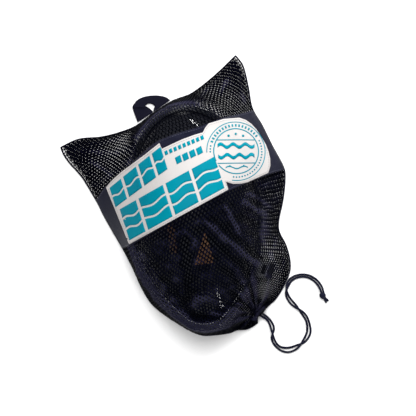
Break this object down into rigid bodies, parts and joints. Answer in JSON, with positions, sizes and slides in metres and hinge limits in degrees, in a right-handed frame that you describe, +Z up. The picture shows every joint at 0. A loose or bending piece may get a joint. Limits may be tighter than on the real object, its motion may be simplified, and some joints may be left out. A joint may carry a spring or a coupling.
{
  "type": "full face snorkel mask in net bag",
  "caption": "Full-face snorkel mask with harness and detached dry-top snorkel, packed in a mesh drawstring bag with a fabric band, label patch and carry loop.",
  "frame": {"origin": "on the underside of the bag's rear panel, which lies on the table, under the middle of the mask's outline", "axes": "+Z up out of the visor, +Y from the mask's chin to its forehead, +X to the right as seen from above"},
  "size_m": [0.3176, 0.3849, 0.1109],
  "materials": {
    "lens": "glossy smoked polycarbonate",
    "bezel": "glossy black",
    "frame": "satin black",
    "silicone": "matte silicone",
    "cup_silicone": "translucent dark silicone",
    "valve_rubber": "smooth rubber",
    "valve_plastic": "satin",
    "clip_plastic": "glossy",
    "pin_steel": "brushed stainless steel",
    "elastic": "woven elastic webbing",
    "tube": "satin moulded",
    "button": "satin teal",
    "float_foam": "closed-cell foam",
    "net": "hexagonal knitted polyester net",
    "band": "plain woven polyester",
    "label": "printed satin label",
    "cord": "braided cord",
    "webbing": "woven webbing"
  },
  "bodies": {
    "root": {"visor_lens": "lens", "visor_bezel": "bezel", "face_frame": "frame", "face_skirt": "silicone", "orinasal_cup": "cup_silicone", "inhale_seat_left": "valve_plastic", "inhale_seat_right": "valve_plastic", "chin_valve_seat": "valve_plastic", "chin_valve_cap": "bezel", "snorkel_socket": "frame", "socket_gasket": "valve_rubber", "clip_pins": "pin_steel", "harness_pad": "silicone", "harness_strap_upper_left": "elastic", "harness_strap_upper_right": "elastic", "harness_strap_lower_left": "elastic", "harness_strap_lower_right": "elastic", "strap_sliders": "clip_plastic", "snorkel_tube": "tube", "snorkel_connector": "frame", "connector_oring": "valve_rubber", "snorkel_head": "tube", "float_seat": "valve_plastic", "float_cage": "tube", "snorkel_head_cap": "bezel", "bag_rear_net": "net", "bag_band": "band", "bag_front_net_lower": "net", "bag_front_net_upper": "net", "label_patch": "label", "mouth_hem": "band", "drawstring_a": "cord", "drawstring_b": "cord", "drawstring_knot": "cord"},
    "loop": {"carry_loop": "webbing"},
    "inhale_flap_left_body": {"inhale_flap_left": "valve_rubber"},
    "inhale_flap_right_body": {"inhale_flap_right": "valve_rubber"},
    "chin_valve": {"chin_valve_disc": "valve_rubber"},
    "clip_upper_left": {"strap_clip_upper_left": "clip_plastic"},
    "clip_upper_right": {"strap_clip_upper_right": "clip_plastic"},
    "clip_lower_left": {"strap_clip_lower_left": "clip_plastic"},
    "clip_lower_right": {"strap_clip_lower_right": "clip_plastic"},
    "button": {"release_button": "button"},
    "float": {"snorkel_float": "float_foam", "float_seal": "valve_rubber"},
    "exhale_valve": {"exhale_flap": "valve_rubber"}
  },
  "joints": [
    {"name": "carry_loop_lift", "type": "hinge", "parent": "root", "child": "loop", "pos_m": [-0.0382, 0.14205, 0.0013], "axis": [0.8921, 0.4519, 0], "range_deg": [0, 60]},
    {"name": "inhale_flap_left_open", "type": "hinge", "parent": "root", "child": "inhale_flap_left_body", "pos_m": [-0.02017, -0.01328, 0.04663], "axis": [0.6622, 0.2432, 0.7087], "range_deg": [0, 30], "stiffness_Nm_per_rad": 0.002},
    {"name": "inhale_flap_right_open", "type": "hinge", "parent": "root", "child": "inhale_flap_right_body", "pos_m": [0.02017, -0.01328, 0.04663], "axis": [0.6622, -0.2432, -0.7087], "range_deg": [0, 30], "stiffness_Nm_per_rad": 0.002},
    {"name": "chin_valve_lift", "type": "slide", "parent": "root", "child": "chin_valve", "axis": [0, -0.507, 0.8619], "range_m": [0, 0.002], "stiffness_N_per_m": 20},
    {"name": "clip_upper_left_swing", "type": "hinge", "parent": "root", "child": "clip_upper_left", "pos_m": [-0.08136, 0.06291, 0.03], "axis": [0.2844, 0.9587, 0], "range_deg": [-8, 12], "deforming": ["harness_strap_upper_left"]},
    {"name": "clip_upper_right_swing", "type": "hinge", "parent": "root", "child": "clip_upper_right", "pos_m": [0.08136, 0.06291, 0.03], "axis": [0.2844, -0.9587, 0], "range_deg": [-8, 12], "deforming": ["harness_strap_upper_right"]},
    {"name": "clip_lower_left_swing", "type": "hinge", "parent": "root", "child": "clip_lower_left", "pos_m": [-0.07234, -0.06932, 0.03], "axis": [-0.412, 0.9112, 0], "range_deg": [-8, 4], "deforming": ["harness_strap_lower_left"]},
    {"name": "clip_lower_right_swing", "type": "hinge", "parent": "root", "child": "clip_lower_right", "pos_m": [0.07234, -0.06932, 0.03], "axis": [-0.412, -0.9112, 0], "range_deg": [-50, 10], "deforming": ["harness_strap_lower_right"]},
    {"name": "release_button_press", "type": "slide", "parent": "root", "child": "button", "axis": [0, 0, -1], "range_m": [0, 0.0015], "stiffness_N_per_m": 600},
    {"name": "float_rise", "type": "slide", "parent": "root", "child": "float", "axis": [0, 1, 0], "range_m": [0, 0.005]},
    {"name": "exhale_flap_open", "type": "hinge", "parent": "root", "child": "exhale_valve", "pos_m": [0.0233, -0.07, 0.0194], "axis": [0, -1, 0], "range_deg": [0, 25], "stiffness_Nm_per_rad": 0.002}
  ]
}
